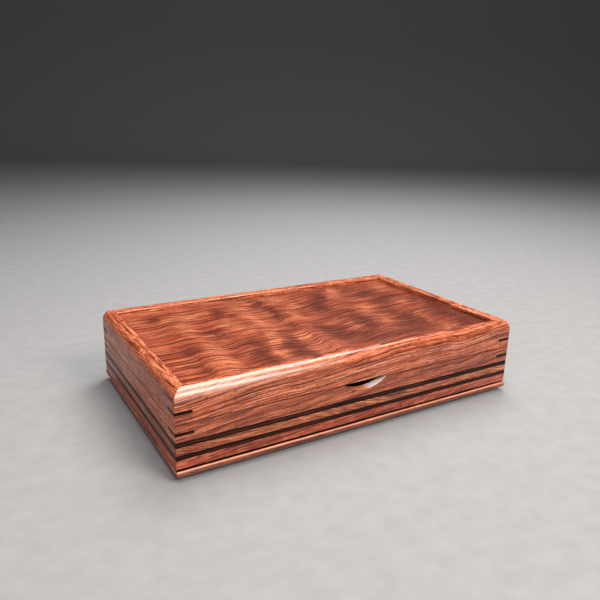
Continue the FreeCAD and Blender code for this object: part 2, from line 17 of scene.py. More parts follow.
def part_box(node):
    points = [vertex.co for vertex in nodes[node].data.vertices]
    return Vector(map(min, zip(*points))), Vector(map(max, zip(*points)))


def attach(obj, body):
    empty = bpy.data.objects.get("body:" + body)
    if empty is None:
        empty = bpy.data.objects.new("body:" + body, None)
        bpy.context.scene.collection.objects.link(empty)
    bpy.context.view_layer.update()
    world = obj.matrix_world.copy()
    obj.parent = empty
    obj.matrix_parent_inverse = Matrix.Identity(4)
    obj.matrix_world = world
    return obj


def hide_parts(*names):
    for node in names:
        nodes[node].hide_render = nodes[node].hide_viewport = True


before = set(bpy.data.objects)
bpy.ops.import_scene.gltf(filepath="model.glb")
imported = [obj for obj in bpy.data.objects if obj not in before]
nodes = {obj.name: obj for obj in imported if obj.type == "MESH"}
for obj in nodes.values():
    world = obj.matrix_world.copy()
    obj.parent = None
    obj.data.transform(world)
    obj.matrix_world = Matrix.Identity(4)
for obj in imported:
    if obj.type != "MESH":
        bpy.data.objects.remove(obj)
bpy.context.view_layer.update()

scene = bpy.context.scene

# %% [markdown]
# ## Small helpers
# Colours are written as sRGB hex values, the way a paint chart gives them, but shaders
# work in linear light, so one function turns them over. A second adds a node to a
# material: it sets the node up and feeds its sockets with numbers or with other nodes.
# Two more open and close a material.

# %% Colours and nodes
MM = 0.001


def paint(code):
    """An sRGB hex colour as the linear colour that shaders work in."""
    channels = [int(code[i:i + 2], 16) / 255 for i in (1, 3, 5)]
    linear = [c / 12.92 if c <= 0.04045 else ((c + 0.055) / 1.055) ** 2.4 for c in channels]
    return (*linear, 1.0)


def add(tree, kind, feeds, stops=(), points=(), **settings):
    """Add a node, set it up, and feed its sockets with values, sockets or whole nodes."""
    node = tree.nodes.new("ShaderNode" + kind)
    for name, value in settings.items():
        setattr(node, name, value)
    for name, source in feeds.items():
        named = [s for s in node.inputs if s.enabled and s.name == name]
        socket = named[0] if named else node.inputs[name]
        if isinstance(source, bpy.types.Node):
            source = next(s for s in source.outputs if s.enabled)
        if isinstance(source, bpy.types.NodeSocket):
            tree.links.new(source, socket)
        else:
            socket.default_value = source
    if stops:
        elements = node.color_ramp.elements
        elements.remove(elements[1])
        for index, (place, code) in enumerate(stops):
            element = elements.new(place) if index else elements[0]
            element.position = place
            element.color = paint(code)
    if points:
        curve = node.mapping.curves[0]
        curve.points[0].location = points[0]
        curve.points[1].location = points[-1]
        for place in points[1:-1]:
            curve.points.new(*place)
        for point in curve.points:
            point.handle_type = "AUTO_CLAMPED"
        node.mapping.update()
    return node


def new_material(name):
    """An empty material and its node tree."""
    material = bpy.data.materials.new(name)
    material.use_nodes = True
    material.node_tree.nodes.clear()
    return material, material.node_tree


def surface(tree, feeds):
    """Close a material: one shader, fed as told, and the output."""
    shader = add(tree, "BsdfPrincipled", feeds)
    add(tree, "OutputMaterial", {"Surface": shader})


print("bubinga pink in linear light:", [round(c, 3) for c in paint("#C4704F")[:3]])

# %% [markdown]
# ## The camera
# The view was fitted to thirty points of the box in the picture, so the camera has the
# real distance and lens. It stands 0.68 m away at the left of the front, a little above
# the lid. Its rotation is built from three turns, in degrees: round the upright axis,
# up from looking straight down, and a slight lean of the camera itself.

# %% Camera
EYE = (-0.3263, -0.5305, 0.2866)
SENSOR_WIDTH = 36.0
LENS = 36.08
NEAREST = 0.01
VIEW_TURN = -30.947
VIEW_TIP = 73.214
VIEW_LEAN = 1.3926

camera = bpy.data.objects.new("camera", bpy.data.cameras.new("camera"))
scene.collection.objects.link(camera)
camera.data.sensor_width = SENSOR_WIDTH
camera.data.lens = LENS
camera.data.clip_start = NEAREST
turn = Matrix.Rotation(math.radians(VIEW_TURN), 4, "Z")
tip = Matrix.Rotation(math.radians(VIEW_TIP), 4, "X")
lean = Matrix.Rotation(math.radians(VIEW_LEAN), 4, "Z")
camera.matrix_world = Matrix.Translation(EYE) @ turn @ tip @ lean
scene.camera = camera
scene.view_settings.view_transform = "Standard"
print("camera at", [round(c, 3) for c in camera.location])

# %% [markdown]
# ## The studio
# The floor is one sheet of pale card that curves up far behind the box, so there is no
# hard line at the horizon. A profile of points, swept sideways and turned to face the
# camera, makes it. The rise is far away because the lid mirrors it at a low angle:
# near by, it would be bright and lay a grey haze over the figured panel.

# %% Floor and sweep
SWEEP_RADIUS = 1.6
FLOOR_FRONT = -3.0
FLOOR_BACK = 3.4
WALL_TOP = 4.5
SWEEP_STEPS = 24
SWEEP_HALF_WIDTH = 7.0
CARD_FIBRES = 900.0  # to the metre, so about 1.1 mm each

profile = [(FLOOR_FRONT, 0.0), (FLOOR_BACK, 0.0)]
for step in range(1, SWEEP_STEPS + 1):
    angle = math.pi / 2 * step / SWEEP_STEPS
    profile.append((FLOOR_BACK + SWEEP_RADIUS * math.sin(angle), SWEEP_RADIUS * (1 - math.cos(angle))))
profile.append((FLOOR_BACK + SWEEP_RADIUS, WALL_TOP))

sheet = bmesh.new()
rows = [[sheet.verts.new((x, y, z)) for y, z in profile] for x in (-SWEEP_HALF_WIDTH, SWEEP_HALF_WIDTH)]
for index in range(len(profile) - 1):
    corners = (rows[0][index], rows[1][index], rows[1][index + 1], rows[0][index + 1])
    sheet.faces.new(corners).smooth = True
floor_mesh = bpy.data.meshes.new("studio_floor")
sheet.to_mesh(floor_mesh)
sheet.free()
floor_mesh.transform(turn)
floor = bpy.data.objects.new("studio_floor", floor_mesh)
scene.collection.objects.link(floor)

card, tree = new_material("pale matt card")
# Card is wood fibre without gloss: an even, chalky surface.
fibre = add(tree, "TexNoise", {"Scale": CARD_FIBRES, "Detail": 2.0})
greys = add(tree, "ValToRGB", {"Fac": fibre}, stops=[(0.3, "#8C8E90"), (0.7, "#929496")])
surface(tree, {"Base Color": greys, "Roughness": 0.9, "IOR": 1.4})
floor_mesh.materials.append(card)
print("floor sweep of", len(floor_mesh.polygons), "faces")

# %% [markdown]
# ## The light
# Three soft boxes light the box. The wide one hangs overhead and behind, and the
# rounded front edge of the lid mirrors it as a pale streak that fades to the right. The
# second stands in front, so the front is bright and the left end is in shade, and a
# weak third one on the left lifts that shade. The air round them is a dim grey.

# %% Lights
def soft_box(name, place, towards, width, length, watts, tint):
    """A rectangular studio light that faces a point."""
    data = bpy.data.lights.new(name, "AREA")
    data.shape = "RECTANGLE"
    data.size = width
    data.size_y = length
    data.energy = watts
    data.color = paint(tint)[:3]
    light = bpy.data.objects.new(name, data)
    scene.collection.objects.link(light)
    light.location = place
    light.rotation_euler = (Vector(place) - Vector(towards)).to_track_quat("Z", "Y").to_euler()


soft_box("overhead_bank", (0.30, 0.25, 1.4), (0.20, 0.15, 0.0), 0.7, 2.1, 42.0, "#FFFAF6")
soft_box("front_key", (0.5, -1.3, 1.3), (0.0, -0.05, 0.05), 0.8, 0.8, 30.0, "#FFF3EA")
soft_box("left_fill", (-1.3, -1.1, 0.7), (-0.1, 0.0, 0.05), 0.6, 0.6, 9.5, "#FFF3EA")

world = bpy.data.worlds.new("studio_air")
scene.world = world
world.use_nodes = True
world.node_tree.nodes.clear()
air = add(world.node_tree, "Background", {"Color": paint("#7C7E82"), "Strength": 0.4})
add(world.node_tree, "OutputWorld", {"Surface": air})
print("three soft boxes and a grey surround")

# %% [markdown]
# ## Bubinga
# Bubinga is a dense pink-brown timber. What the eye reads is a stack of thin growth
# layers, cut lengthways by the saw: broad bands of tone, fine dark purple-brown veins,
# and pores, short dark dashes along the grain. A picture could not follow the
# roundover, so the wood is a solid: every point inside the board has a colour. First
# each board gets its own coordinates in millimetres: along, in from its face, and up.

# %% Board coordinates
TURN = {"front": 0.0, "right": -90.0, "back": 180.0, "left": 90.0}
SIDES = tuple(TURN)
HALF_LENGTH = -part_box("upper_wall_left")[0].x / MM
HALF_DEPTH = -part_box("upper_wall_front")[0].y / MM
REACH = {"front": HALF_DEPTH, "right": HALF_LENGTH, "back": HALF_DEPTH, "left": HALF_LENGTH}


def board_space(tree, side):
    """Along, in from the outer face and up, in mm, for a board on one side of the box."""
    place = add(tree, "TexCoord", {}).outputs["Object"]
    return add(tree, "Mapping", {
        "Vector": place,
        "Scale": (1 / MM,) * 3,
        "Rotation": (0.0, 0.0, math.radians(TURN[side])),
        "Location": (0.0, REACH[side], 0.0),
    })


print("faces lie", round(HALF_DEPTH, 2), "and", round(HALF_LENGTH, 2), "mm from the middle")

# %% [markdown]
# The layers of a real board are not level: they climb and dip along its length, and the
# veins all follow them together. A curve gives that climb, and two slow noises add the
# waver between. Taking the climb away from the height gives the layer that a point is
# in, and every pattern is drawn against the layer instead of the height. That is why
# the veins run together like contour lines.

# %% Layers of a board
CLEAR_OF_ZERO = 0.001  # so that a flat curve has a span
# mm along and across the grain
SLOW_WAVER = (90.0, 33.0)
QUICK_WAVER = (22.0, 8.0)


def curve_over(tree, value, points):
    """A smooth curve through points (value, result), read at a value."""
    low, high = points[0][0], points[-1][0]
    least = min(result for _, result in points)
    most = max(result for _, result in points) + CLEAR_OF_ZERO
    share = add(tree, "MapRange", {"Value": value, "From Min": low, "From Max": high})
    drawn = [((at - low) / (high - low), (result - least) / (most - least)) for at, result in points]
    curve = add(tree, "FloatCurve", {"Value": share}, points=drawn)
    return add(tree, "MapRange", {"Value": curve, "To Min": least, "To Max": most}, clamp=False)


def waver(tree, space, along, across, size):
    """Slow noise of a length along and across, in mm, that swings by a size either way."""
    scale = (1 / along, 1 / across, 1 / across)
    stretched = add(tree, "VectorMath", {0: space, 1: scale}, operation="MULTIPLY")
    noise = add(tree, "TexNoise", {"Vector": stretched, "Scale": 1.0, "Detail": 1.0})
    return add(tree, "MapRange", {"Value": noise, "To Min": -size, "To Max": size}, clamp=False)


def layers_of(tree, space, climb, lean, slow, quick):
    """The growth layer at each point, in mm, and the grain's own space: along, layer, in."""
    along, inward, up = add(tree, "SeparateXYZ", {"Vector": space}).outputs
    rise = curve_over(tree, along, climb)
    level = add(tree, "Math", {0: inward, 1: lean, 2: up}, operation="MULTIPLY_ADD")
    layer = add(tree, "Math", {0: level, 1: rise}, operation="SUBTRACT")
    for (length, width), size in ((SLOW_WAVER, slow), (QUICK_WAVER, quick)):
        swing = waver(tree, space, length, width, size)
        layer = add(tree, "Math", {0: layer, 1: swing}, operation="ADD")
    return layer, add(tree, "CombineXYZ", {"X": along, "Y": layer, "Z": inward})


print("layers follow a curve and wavers of", SLOW_WAVER[0], "and", QUICK_WAVER[0], "mm")

# %% [markdown]
# A pattern in the wood is noise that is stretched along the grain. Its size along and
# across is given in millimetres, so a pore is a pore on every board. The real vessels
# of bubinga are about 0.2 mm wide, under half a pixel here, so they are drawn about
# 0.5 mm wide. Each pattern is then laid over the colour below it, like a tinted oil.

# %% Streaks and tints
CLEAR_WOOD = 3.0  # mm beyond the first and the last vein


def streaks(tree, grain, along, across, low, high, seed, detail=2.0, depth=None):
    """Noise stretched along the grain, spread to 0..1 between two of its values."""
    scale = (1 / along, 1 / across, 1 / (depth or 2 * across))
    shift = (seed * 3.7, seed * 5.3, seed * 7.1)
    spot = add(tree, "VectorMath", {0: grain, 1: scale, 2: shift}, operation="MULTIPLY_ADD")
    noise = add(tree, "TexNoise", {"Vector": spot, "Scale": 1.0, "Detail": detail})
    return add(tree, "MapRange", {"Value": noise, "From Min": low, "From Max": high})


def tinted(tree, colour, *coats):
    """Colours laid over one another in turn, each as far as its shares from 0 to 1 let it."""
    for over, share, *further in coats:
        for other in further:
            share = add(tree, "Math", {0: share, 1: other}, operation="MULTIPLY")
        colour = add(tree, "Mix", {"Factor": share, "A": colour, "B": paint(over)}, data_type="RGBA")
    return colour


def vein_lines(tree, layer, veins):
    """Lines at certain layers: (layer, half width, strength) of each, in mm."""
    line = [(veins[0][0] - CLEAR_WOOD, 0.0)]
    for place, width, strength in veins:
        line += [(place - width, 0.0), (place, strength), (place + width, 0.0)]
    return curve_over(tree, layer, [*line, (veins[-1][0] + CLEAR_WOOD, 0.0)])


print("veins fade into clear wood over", CLEAR_WOOD, "mm")

# %% [markdown]
# A finish is the last thing that a maker puts on: here oil, then thin satin lacquer,
# rubbed down. Lacquer has an IOR near 1.5. Over the open pores it sinks, so they stay a
# little duller and lower than the wood between.

# %% Satin lacquer
SATIN = {
    "IOR": 1.5, "Specular IOR Level": 0.12,
    "Coat Weight": 0.9, "Coat Roughness": 0.2, "Coat IOR": 1.5,
}
PORE_DEPTH = 0.05 * MM


def lacquered(tree, colour, pores, height, rough=(0.30, 0.5), finish=SATIN):
    """Wood under rubbed satin lacquer: the pores dull it and dip."""
    gloss = add(tree, "MapRange", {"Value": pores, "To Min": rough[0], "To Max": rough[1]})
    dips = add(tree, "Math", {0: pores, 1: height}, operation="ADD")
    feeds = {"Height": dips, "Strength": 0.3, "Distance": PORE_DEPTH}
    relief = add(tree, "Bump", feeds, invert=True)
    surface(tree, {"Base Color": colour, "Roughness": gloss, "Normal": relief, **finish})


def dress(material, *names):
    """Give CAD pieces a material."""
    for name in names:
        nodes[name].data.materials.clear()
        nodes[name].data.materials.append(material)


print("satin lacquer, IOR", SATIN["IOR"])

# %% [markdown]
# One function makes every stick of bubinga: bands of tone, a shimmer where the fibres
# lean, fine streaks, veins, pores. What differs is handed in: the climb and waver of
# its layers, its tones and veins, and its mark, a function that adds that stick's own
# tone or its painted light and shade. The seam under the lid is a fine dark line, dulled by dust and
# wax.

# %% Bubinga stick
BUBINGA = ("#FAA075", "#D4714A", "#92361A")
VEIN, PORE = "#3A1109", "#4A170B"
LAYER_LEAN = 0.35
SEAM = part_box("upper_wall_front")[1].z / MM
SEAM_LINE = [(SEAM - 0.7, 0.0), (SEAM - 0.3, 1.0), (SEAM + 0.5, 1.0), (SEAM + 0.8, 0.0)]


def bubinga(name, side, climb, seed, slow, tones=BUBINGA, veins=(), quick=0.9, gleams=(),
            mark=None, seam=0.0, finish=SATIN):
    """Sawn bubinga under satin lacquer, as the material of one stick."""
    material, tree = new_material(name)
    space = board_space(tree, side)
    layer, grain = layers_of(tree, space, climb, LAYER_LEAN, slow, quick)
    bands = streaks(tree, grain, 120.0, 6.0, 0.30, 0.70, seed, detail=3.0)
    light, middle, dark = tones
    colour = add(tree, "ValToRGB", {"Fac": bands}, stops=[(0.0, dark), (0.4, middle), (1.0, light)])
    shimmer = streaks(tree, grain, 10.0, 16.0, 0.42, 0.66, seed + 2)
    if gleams:
        along = add(tree, "SeparateXYZ", {"Vector": space}).outputs["X"]
        where = curve_over(tree, along, gleams)
        shimmer = add(tree, "Math", {0: shimmer, 1: where}, operation="MULTIPLY")
    bright = streaks(tree, grain, 26.0, 1.3, 0.50, 0.66, seed + 5)
    fine = streaks(tree, grain, 22.0, 0.9, 0.45, 0.58, seed + 3)
    thin = streaks(tree, grain, 60.0, 1.7, 0.57, 0.61, seed + 7)
    colour = tinted(
        tree, colour, (light, shimmer, 0.6), (light, bright, 0.45), (dark, fine, 0.75),
        (VEIN, thin, 0.75),
    )
    if veins:
        patchy = streaks(tree, grain, 20.0, 2.0, 0.25, 0.48, seed + 11)
        colour = tinted(tree, colour, (VEIN, vein_lines(tree, layer, veins), patchy))
    pores = streaks(tree, grain, 5.0, 0.55, 0.56, 0.65, seed + 19, detail=1.0)
    colour = tinted(tree, colour, (PORE, pores, 0.75))
    if mark:
        colour = mark(tree, space, colour)
    if seam:
        up = add(tree, "SeparateXYZ", {"Vector": space}).outputs["Z"]
        joint = curve_over(tree, up, SEAM_LINE)
        colour = tinted(tree, colour, (VEIN, joint, seam))
        clean = add(tree, "Math", {0: 1.0, 1: joint}, operation="SUBTRACT")
        coat = add(tree, "Math", {0: clean, 1: finish["Coat Weight"]}, operation="MULTIPLY")
        finish = {**finish, "Coat Weight": coat}
    lacquered(tree, colour, pores, fine, finish=finish)
    return material


print("the seam lies at", round(SEAM, 2), "mm")

# %% [markdown]
# The front shows most, so its layers are listed, in millimetres from its middle:
# how they climb, where dark veins lie, and where the fibres gleam. The lid's rail and
# the wall under it are one board, sawn apart, so the veins go on across the seam.

# %% The front's grain
FRONT_CLIMB = [
    (-200, -0.5), (-190, 0), (-170, 1.5), (-150, 4), (-130, 6.5), (-110, 8.5), (-90, 9.3), (-75, 9.3),
    (-60, 10.3), (-40, 11.8), (-20, 13.5), (0, 15.8), (20, 17.2), (40, 18.6), (60, 19.1), (90, 19.1),
    (105, 18.5), (117, 17.3), (130, 18.2), (150, 20.2), (180, 23.3), (200, 24.5),
]
FRONT_VEINS = [
    (24.0, 0.6, 0.6), (31.5, 0.6, 0.5), (36.0, 0.7, 0.7), (44.8, 0.8, 0.8), (47.6, 0.5, 0.5),
    (50.5, 0.7, 0.85), (54.0, 1.0, 1.0), (58.5, 0.8, 0.9), (62.5, 0.5, 0.5), (66.5, 0.9, 0.9),
    (73.0, 0.8, 0.85),
]
FRONT_GLEAMS = [
    (-200, 0.3), (-60, 0.3), (0, 0.4), (85, 0.5), (106, 1.0), (118, 1.0), (135, 0.4), (163, 1.0),
    (185, 0.4), (200, 0.3),
]
print(len(FRONT_VEINS), "veins along the front")

# %% [markdown]
# Painted light and shade lie over the wood. The cut of the notch is painted pale, as lit
# wood, most at its right, and black further in, as the lid's shadow. The lid's rounded
# edge gets a painted highlight, and the face is painted darker, as shade, most at the
# right. Each mark is a curve of strength in millimetres along the board or in from its face.

# %% Painted light and shade on the front
FACE_EASE, SEAM_CLEAR, SHADE_BLUR = 0.5, 0.2, 0.4
NOTCH_HIGHLIGHT = [(-30, 0.0), (-6, 0.0), (4, 0.8), (9, 1.0), (24, 1.0), (25, 0.0)]
NOTCH_LIT_DEPTH = [(-30, 9.5), (-8, 9.5), (5, 9.2), (10, 8.5), (16, 6.3), (20, 3.5), (23, 1.5)]
FACE_SHADE = [(-200, 0.04), (-40, 0.04), (80, 0.2), (200, 0.22)]
ROUNDED_EDGE = (70.0, 74.0)
EDGE_REACHED = [(-1, 0.3), (1.0, 1.0), (5.5, 1.0), (9.5, 0.0), (13, 0.0)]
EDGE_HIGHLIGHT = [(-200, 0.2), (-140, 0.17), (-60, 0.04), (20, 0.0), (120, 0.0), (200, 0.05)]


def painted_front_light_and_shade(tree, space, colour):
    """Painted light on the notch's cut, pale at its right and black further in as the lid's shadow, and
    painted shade on the face.
    """
    along, inward, up = add(tree, "SeparateXYZ", {"Vector": space}).outputs
    behind = add(tree, "Math", {0: inward, 1: FACE_EASE}, operation="GREATER_THAN")
    below = add(tree, "Math", {0: up, 1: SEAM - SEAM_CLEAR}, operation="LESS_THAN")
    cut = add(tree, "Math", {0: behind, 1: below}, operation="MULTIPLY")
    # Painted highlight on the notch's cut, strongest at its right.
    rubbed = curve_over(tree, along, NOTCH_HIGHLIGHT)
    lit = curve_over(tree, along, NOTCH_LIT_DEPTH)
    # Past the lit depth the cut is painted black, as the lid's shadow.
    past = add(tree, "Math", {0: inward, 1: lit}, operation="SUBTRACT")
    lid_shadow = add(tree, "MapRange", {"Value": past, "From Min": -SHADE_BLUR, "From Max": SHADE_BLUR})
    # Painted shade on the face, darker towards the right.
    painted_shade = curve_over(tree, along, FACE_SHADE)
    beside = add(tree, "Math", {0: 1.0, 1: cut}, operation="SUBTRACT")
    # The whole cut is also painted paler orange, as lit wood.
    return tinted(
        tree, colour, ("#FF9A70", cut, 0.8), ("#FFF4EE", cut, rubbed), ("#060302", cut, lid_shadow),
        ("#6A1C06", painted_shade, beside),
    )


def painted_edge_highlight(tree, space, colour):
    """A painted highlight on the lid's rounded front edge, strongest towards the left, over the front's
    painted light and shade.
    """
    colour = painted_front_light_and_shade(tree, space, colour)
    along, inward, up = add(tree, "SeparateXYZ", {"Vector": space}).outputs
    low, full = ROUNDED_EDGE
    high = add(tree, "MapRange", {"Value": up, "From Min": low, "From Max": full})
    reached = curve_over(tree, inward, EDGE_REACHED)
    share = curve_over(tree, along, EDGE_HIGHLIGHT)
    # Painted highlight on the upper part of the rounded edge.
    return tinted(tree, colour, ("#FFE2D6", high, reached, share))


print("the lid's edge is pale above", ROUNDED_EDGE[0], "mm")

# %% Front board
DEEPER = ("#DC8259", "#AF5633", "#712712")
SEAM_SHOWS = 0.55
FRONT = {
    "climb": FRONT_CLIMB, "veins": FRONT_VEINS, "gleams": FRONT_GLEAMS,
    "seed": 1.0, "slow": 0.8, "seam": SEAM_SHOWS,
}
rail = bubinga("bubinga front board", "front", mark=painted_edge_highlight, **FRONT)
dress(rail, "lid_rail_front")
wall = bubinga("bubinga front board below", "front", tones=DEEPER, mark=painted_front_light_and_shade, **FRONT)
dress(wall, "upper_wall_front")
print("one board through wall and lid")

# %% [markdown]
# The other three sides come from the same plank, so they have the same make-up and
# their own climb. On the left end the layers rise towards the front corner. That end
# has been touched most: its lacquer is rubbed down further and mirrors less, and the
# seam is nearly filled with wax. It is also painted darker, as shade, most on its face.

# %% The other boards
CLIMBS = {
    "right": [(-200, 10), (-116, 7), (-60, 4), (0, 1), (60, 2), (116, -2), (200, -5)],
    "back": [(-200, -8), (-120, -6), (-60, -2), (0, 1), (60, 2), (120, 1.5), (200, 0)],
    "left": [(-200, -3), (-116, -2), (-60, 0), (0, 2), (60, 5), (116, 9), (200, 14)],
}
RUBBED = {**SATIN, "Specular IOR Level": 0.05, "Coat Weight": 0.35, "Coat Roughness": 0.3}
FINISHES = {"left": RUBBED}


def painted_face_shade(tree, space, colour):
    """Painted shade over the left end, a little deeper on its outer face than on its top."""
    inward = add(tree, "SeparateXYZ", {"Vector": space}).outputs["Y"]
    span = {"From Min": 6.0, "From Max": 3.0, "To Min": 0.26, "To Max": 0.3}
    face = add(tree, "MapRange", {"Value": inward, **span})
    # Painted shade.
    return tinted(tree, colour, ("#4E1608", face))


# The left end gets painted shade.
SHADES = {"left": painted_face_shade}
SEAMS = {"left": 0.2}
for number, (side, climb) in enumerate(CLIMBS.items(), 2):
    board = bubinga(
        f"bubinga {side} board", side, climb, seed=float(number), slow=2.0,
        mark=SHADES.get(side), seam=SEAMS.get(side, SEAM_SHOWS), finish=FINISHES.get(side, SATIN),
    )
    dress(board, f"lid_rail_{side}", f"upper_wall_{side}")
print(len(CLIMBS), "more boards")

# %% [markdown]
# The wall is built up in layers, and each comes from another stick: a plain reddish
# one at the bottom with lines that rise to the right, a golden one with ribbon
# figure between the dark stripes, and the moulding below. The ribbon figure is
# short bright streaks that fall across the layers, where the fibres lean in and out.

# %% Tones of the sticks
RISING = [(-200, -16), (-100, -8), (0, 0), (100, 9), (200, 18)]
FALLING = [
    (-200, 12), (-150, 6), (-110, 4), (-60, 2), (-45, 0), (15, -16), (60, -20), (120, -22),
    (200, -28),
]
LEVEL = [(-200, -3), (-60, 0), (40, 1), (120, -1), (200, 2)]
LOWER = ("#DA7852", "#B25032", "#752610")
GOLDEN = ("#E29260", "#A85030", "#66230E")
TRIM = ("#F09068", "#C05E3C", "#7E301A")
print("tones of three sticks")

# %% [markdown]
# The gap between moulding and wall shows the black-stained bottom panel. Painted shade
# deepens it: black up the foot of the wall, though not at the left end, and over the
# moulding's top, and darker towards the moulding's foot. A painted highlight lies on its
# proud upper edge. The end strips are flush, so their painted black starts further in, with less shade
# at the foot.

# %% Painted shade and highlight by the gap
# Black for the painted shade in and around the gap.
GAP_SHADE = "#0A0403"
WALL_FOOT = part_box("lower_wall_front")[0].z / MM
MOULDING_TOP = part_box("moulding_front")[1].z / MM
GAP_SHADE_BLUR = 0.4
FOOT_SHADE_BY_HEIGHT = [
    (1.5, 0.7), (4.5, 0.65), (6.0, 0.6), (7.5, 0.55), (8.5, 0.35), (9.3, 0.0), (10.5, 0.0),
]
HIGHLIGHT_BY_HEIGHT = [(8.6, 0.0), (9.2, 0.4), (10.5, 0.4)]
BAND_REDDER = [(-200, 0.3), (-80, 0.26), (-20, 0.05), (200, 0.0)]


def shaded_wall_foot(tree, space, colour):
    """Painted shade: black up the foot of the wall, just above the gap."""
    up = add(tree, "SeparateXYZ", {"Vector": space}).outputs["Z"]
    span = {"From Min": WALL_FOOT + 0.8, "From Max": WALL_FOOT + 0.2}
    foot = add(tree, "MapRange", {"Value": up, **span})
    # Painted shade.
    return tinted(tree, colour, (GAP_SHADE, foot))


def redder_left(tree, space, colour):
    """The band's stick is redder at its left end."""
    along = add(tree, "SeparateXYZ", {"Vector": space}).outputs["X"]
    share = curve_over(tree, along, BAND_REDDER)
    return tinted(tree, colour, ("#7A2408", share))


def painted_moulding_light(tree, space, colour, start=-0.5, foot_shade=1.0):
    """Painted shade on the moulding, black on its top in the gap and darker towards its foot, and a
    painted highlight on its upper edge.
    """
    _, inward, up = add(tree, "SeparateXYZ", {"Vector": space}).outputs
    # Painted shade: black on the moulding's top, under the wall.
    span = {"From Min": MOULDING_TOP - 0.5, "From Max": MOULDING_TOP - 0.2}
    top = add(tree, "MapRange", {"Value": up, **span})
    span = {"From Min": start, "From Max": start + GAP_SHADE_BLUR}
    under = add(tree, "MapRange", {"Value": inward, **span})
    # Painted shade, darker towards the moulding's foot.
    low = curve_over(tree, up, FOOT_SHADE_BY_HEIGHT)
    # Painted highlight on the moulding's upper edge, where it stands proud.
    worn = curve_over(tree, up, HIGHLIGHT_BY_HEIGHT)
    proud = add(tree, "MapRange", {"Value": inward, "From Min": -0.5, "From Max": -0.9})
    return tinted(tree, colour, (GAP_SHADE, top, under), ("#2A0F08", low, foot_shade), ("#FFB492", worn, proud))


def flush(tree, space, colour):
    """The same painted shade and highlight, for the end strips, which stand flush."""
    return painted_moulding_light(tree, space, colour, start=0.6, foot_shade=0.2)


print("the gap runs from", round(MOULDING_TOP, 2), "to", round(WALL_FOOT, 2), "mm")

# %% Lower wall, band and moulding
# The left wall's foot gets no painted shade.
FEET = {"left": None}
STRIPS = {"left": flush, "right": flush}
for number, side in enumerate(SIDES):
    finish = FINISHES.get(side, SATIN)
    wall = bubinga(
        f"bubinga {side} lower wall", side, RISING, seed=6.0 + number, slow=1.5, quick=0.5,
        tones=LOWER, mark=FEET.get(side, shaded_wall_foot), finish=finish,
    )
    dress(wall, f"lower_wall_{side}")
    band = bubinga(
        f"ribbon bubinga {side} band", side, FALLING, seed=26.0 + number, slow=2.0, quick=0.8,
        tones=GOLDEN, mark=redder_left, finish=finish,
    )
    dress(band, f"middle_band_{side}")
    strip = bubinga(
        f"bubinga {side} moulding", side, LEVEL, seed=46.0 + number, slow=1.0, quick=0.5,
        tones=TRIM, mark=STRIPS.get(side, painted_moulding_light), finish=finish,
    )
    dress(strip, f"moulding_{side}")
print("three sticks on each of", len(SIDES), "sides")

# %% [markdown]
# ## Waterfall figure
# The lid panel is the show piece: bubinga whose layers are buckled, so that flat sawing
# cuts them in scallops with pointed crests, and the fibres lean now towards the eye
# and now away. Leaning away, they look dark and smoky; leaning in, they look bright.
# Noise alone can't put a crest where this panel has one. So the scallops are a curve
# with listed crests, and the smoke and gleams are soft ellipses, in millimetres from
# the panel's middle. A ragged warp then frays all their edges.

# %% The panel's figure
SCALLOPS = [
    (-185, -1), (-160, -1), (-146, 1), (-132, 5), (-120, 1), (-108, -3), (-96, 0), (-78, 2), (-62, 3),
    (-48, -1), (-32, -4), (-20, -1), (-8, 3), (0, 0), (12, -4), (26, -2), (40, 2), (56, 6), (70, 8),
    (84, 4), (98, 0), (115, 1), (135, 5), (155, 6), (185, 5),
]
NEAR_VEINS = [
    (-88, 1.2, 0.5), (-79, 1.4, 0.6), (-66, 1.2, 0.7), (-60.5, 1.2, 0.7), (-54, 1.5, 0.9),
    (-48, 1.2, 0.7), (-37.5, 1.6, 1.0), (-31.5, 1.4, 0.9), (-26.5, 1.2, 0.8), (-21.5, 1.2, 0.85),
    (-16, 1.1, 0.7), (-2, 1.5, 1.0),
]
FAR_VEINS = [
    (7, 1.1, 0.4), (16, 1.4, 0.85), (27.5, 1.5, 0.95), (33, 1.1, 0.5), (44.5, 1.5, 0.8), (53, 1.4, 0.7),
    (60, 1.5, 0.75), (70, 1.2, 0.5), (78, 1.5, 0.6), (90, 1.5, 0.5),
]
